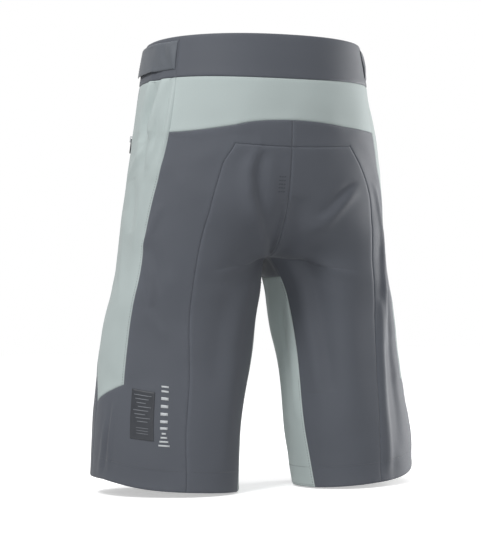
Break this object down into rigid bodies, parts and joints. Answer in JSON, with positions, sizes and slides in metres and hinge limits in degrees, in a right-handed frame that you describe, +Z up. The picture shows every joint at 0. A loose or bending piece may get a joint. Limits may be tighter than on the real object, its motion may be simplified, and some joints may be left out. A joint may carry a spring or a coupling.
{
  "type": "trail riding shorts",
  "caption": "Baggy over-shorts with a contrast yoke and side panels, side waist adjusters, a snap and zip fly, and zipped hand pockets.",
  "frame": {"origin": "centre of the waist opening, at the top edge of the waistband", "axes": "+Z up out of the waist, -Y the front of the shorts, +X the wearer's left"},
  "size_m": [0.4392, 0.2387, 0.5643],
  "materials": {
    "slate_cloth": "woven nylon, matt",
    "slate_band": "woven nylon, matt",
    "tab_cloth": "woven nylon, matt",
    "mint_cloth": "stretch weave, matt",
    "lining": "plain lining",
    "hook_and_loop": "hook and loop",
    "zip_tape": "zip tape with coil",
    "gripper": "silicone strip",
    "label": "satin label",
    "patch": "heat-sealed film",
    "transfer": "reflective film",
    "metal": "dark nickel",
    "pull": "moulded pull"
  },
  "bodies": {
    "shell": {"back_yoke": "mint_cloth", "crotch_gusset": "slate_cloth", "fly_shield": "lining", "fly_tape_left": "zip_tape", "fly_tape_right": "zip_tape", "front_panel_left": "slate_cloth", "front_panel_right": "slate_cloth", "gripper_tape": "gripper", "hem_facing_left": "lining", "hem_facing_right": "lining", "inner_thigh_left": "mint_cloth", "inner_thigh_right": "mint_cloth", "leg_patch": "patch", "loop_pad_left": "hook_and_loop", "loop_pad_right": "hook_and_loop", "outer_back_left": "slate_cloth", "outer_back_right": "slate_cloth", "pocket_bag_left": "lining", "pocket_bag_right": "lining", "pocket_tape_front_left": "zip_tape", "pocket_tape_front_right": "zip_tape", "pocket_tape_rear_left": "zip_tape", "pocket_tape_rear_right": "zip_tape", "reflective_transfer": "transfer", "seat_leg_left": "slate_cloth", "seat_leg_right": "slate_cloth", "side_panel_left": "mint_cloth", "side_panel_right": "mint_cloth", "size_label": "label", "snap_backing": "metal", "snap_stud": "metal", "waistband_back": "slate_band", "waistband_facing": "lining", "waistband_front_left": "slate_band", "waistband_front_right": "slate_band", "waistband_underlap": "slate_band"},
    "adjuster_left": {"adjuster_tab_left": "tab_cloth", "hook_pad_left": "hook_and_loop"},
    "adjuster_right": {"adjuster_tab_right": "tab_cloth", "hook_pad_right": "hook_and_loop"},
    "fly": {"fly_flap": "slate_cloth", "waistband_tab_end": "slate_band", "snap_cap": "metal", "snap_socket": "metal"},
    "fly_slider": {"fly_slider": "metal"},
    "pocket_slider_left": {"pocket_slider_left": "metal"},
    "pocket_slider_right": {"pocket_slider_right": "metal"},
    "pocket_pull_left": {"pocket_pull_left": "pull"},
    "pocket_pull_right": {"pocket_pull_right": "pull"}
  },
  "joints": [
    {"name": "adjuster_left_peel", "type": "hinge", "parent": "shell", "child": "adjuster_left", "pos_m": [0.12552, 0.06053, -0.00525], "axis": [-0.165, -0.0247, 0.986], "range_deg": [0, 100]},
    {"name": "adjuster_right_peel", "type": "hinge", "parent": "shell", "child": "adjuster_right", "pos_m": [-0.12552, 0.06053, -0.00525], "axis": [-0.165, 0.0247, -0.986], "range_deg": [0, 100]},
    {"name": "fly_open", "type": "hinge", "parent": "shell", "child": "fly", "pos_m": [0.03782, -0.10434, 0.00003], "axis": [0.0003, 0.03, 0.9995], "range_deg": [0, 100]},
    {"name": "fly_zip", "type": "slide", "parent": "shell", "child": "fly_slider", "axis": [0, -0.03, -0.9996], "range_m": [0, 0.089]},
    {"name": "pocket_left_zip", "type": "slide", "parent": "shell", "child": "pocket_slider_left", "axis": [0.0929, -0.1563, -0.9833], "range_m": [0, 0.116]},
    {"name": "pocket_left_pull_swing", "type": "hinge", "parent": "pocket_slider_left", "child": "pocket_pull_left", "pos_m": [0.15425, -0.03827, -0.1186], "axis": [-0.3977, -0.9112, 0.1072], "range_deg": [0, 150]},
    {"name": "pocket_right_zip", "type": "slide", "parent": "shell", "child": "pocket_slider_right", "axis": [-0.0929, -0.1563, -0.9833], "range_m": [0, 0.116]},
    {"name": "pocket_right_pull_swing", "type": "hinge", "parent": "pocket_slider_right", "child": "pocket_pull_right", "pos_m": [-0.15425, -0.03827, -0.1186], "axis": [-0.3977, 0.9112, -0.1072], "range_deg": [0, 150]}
  ]
}
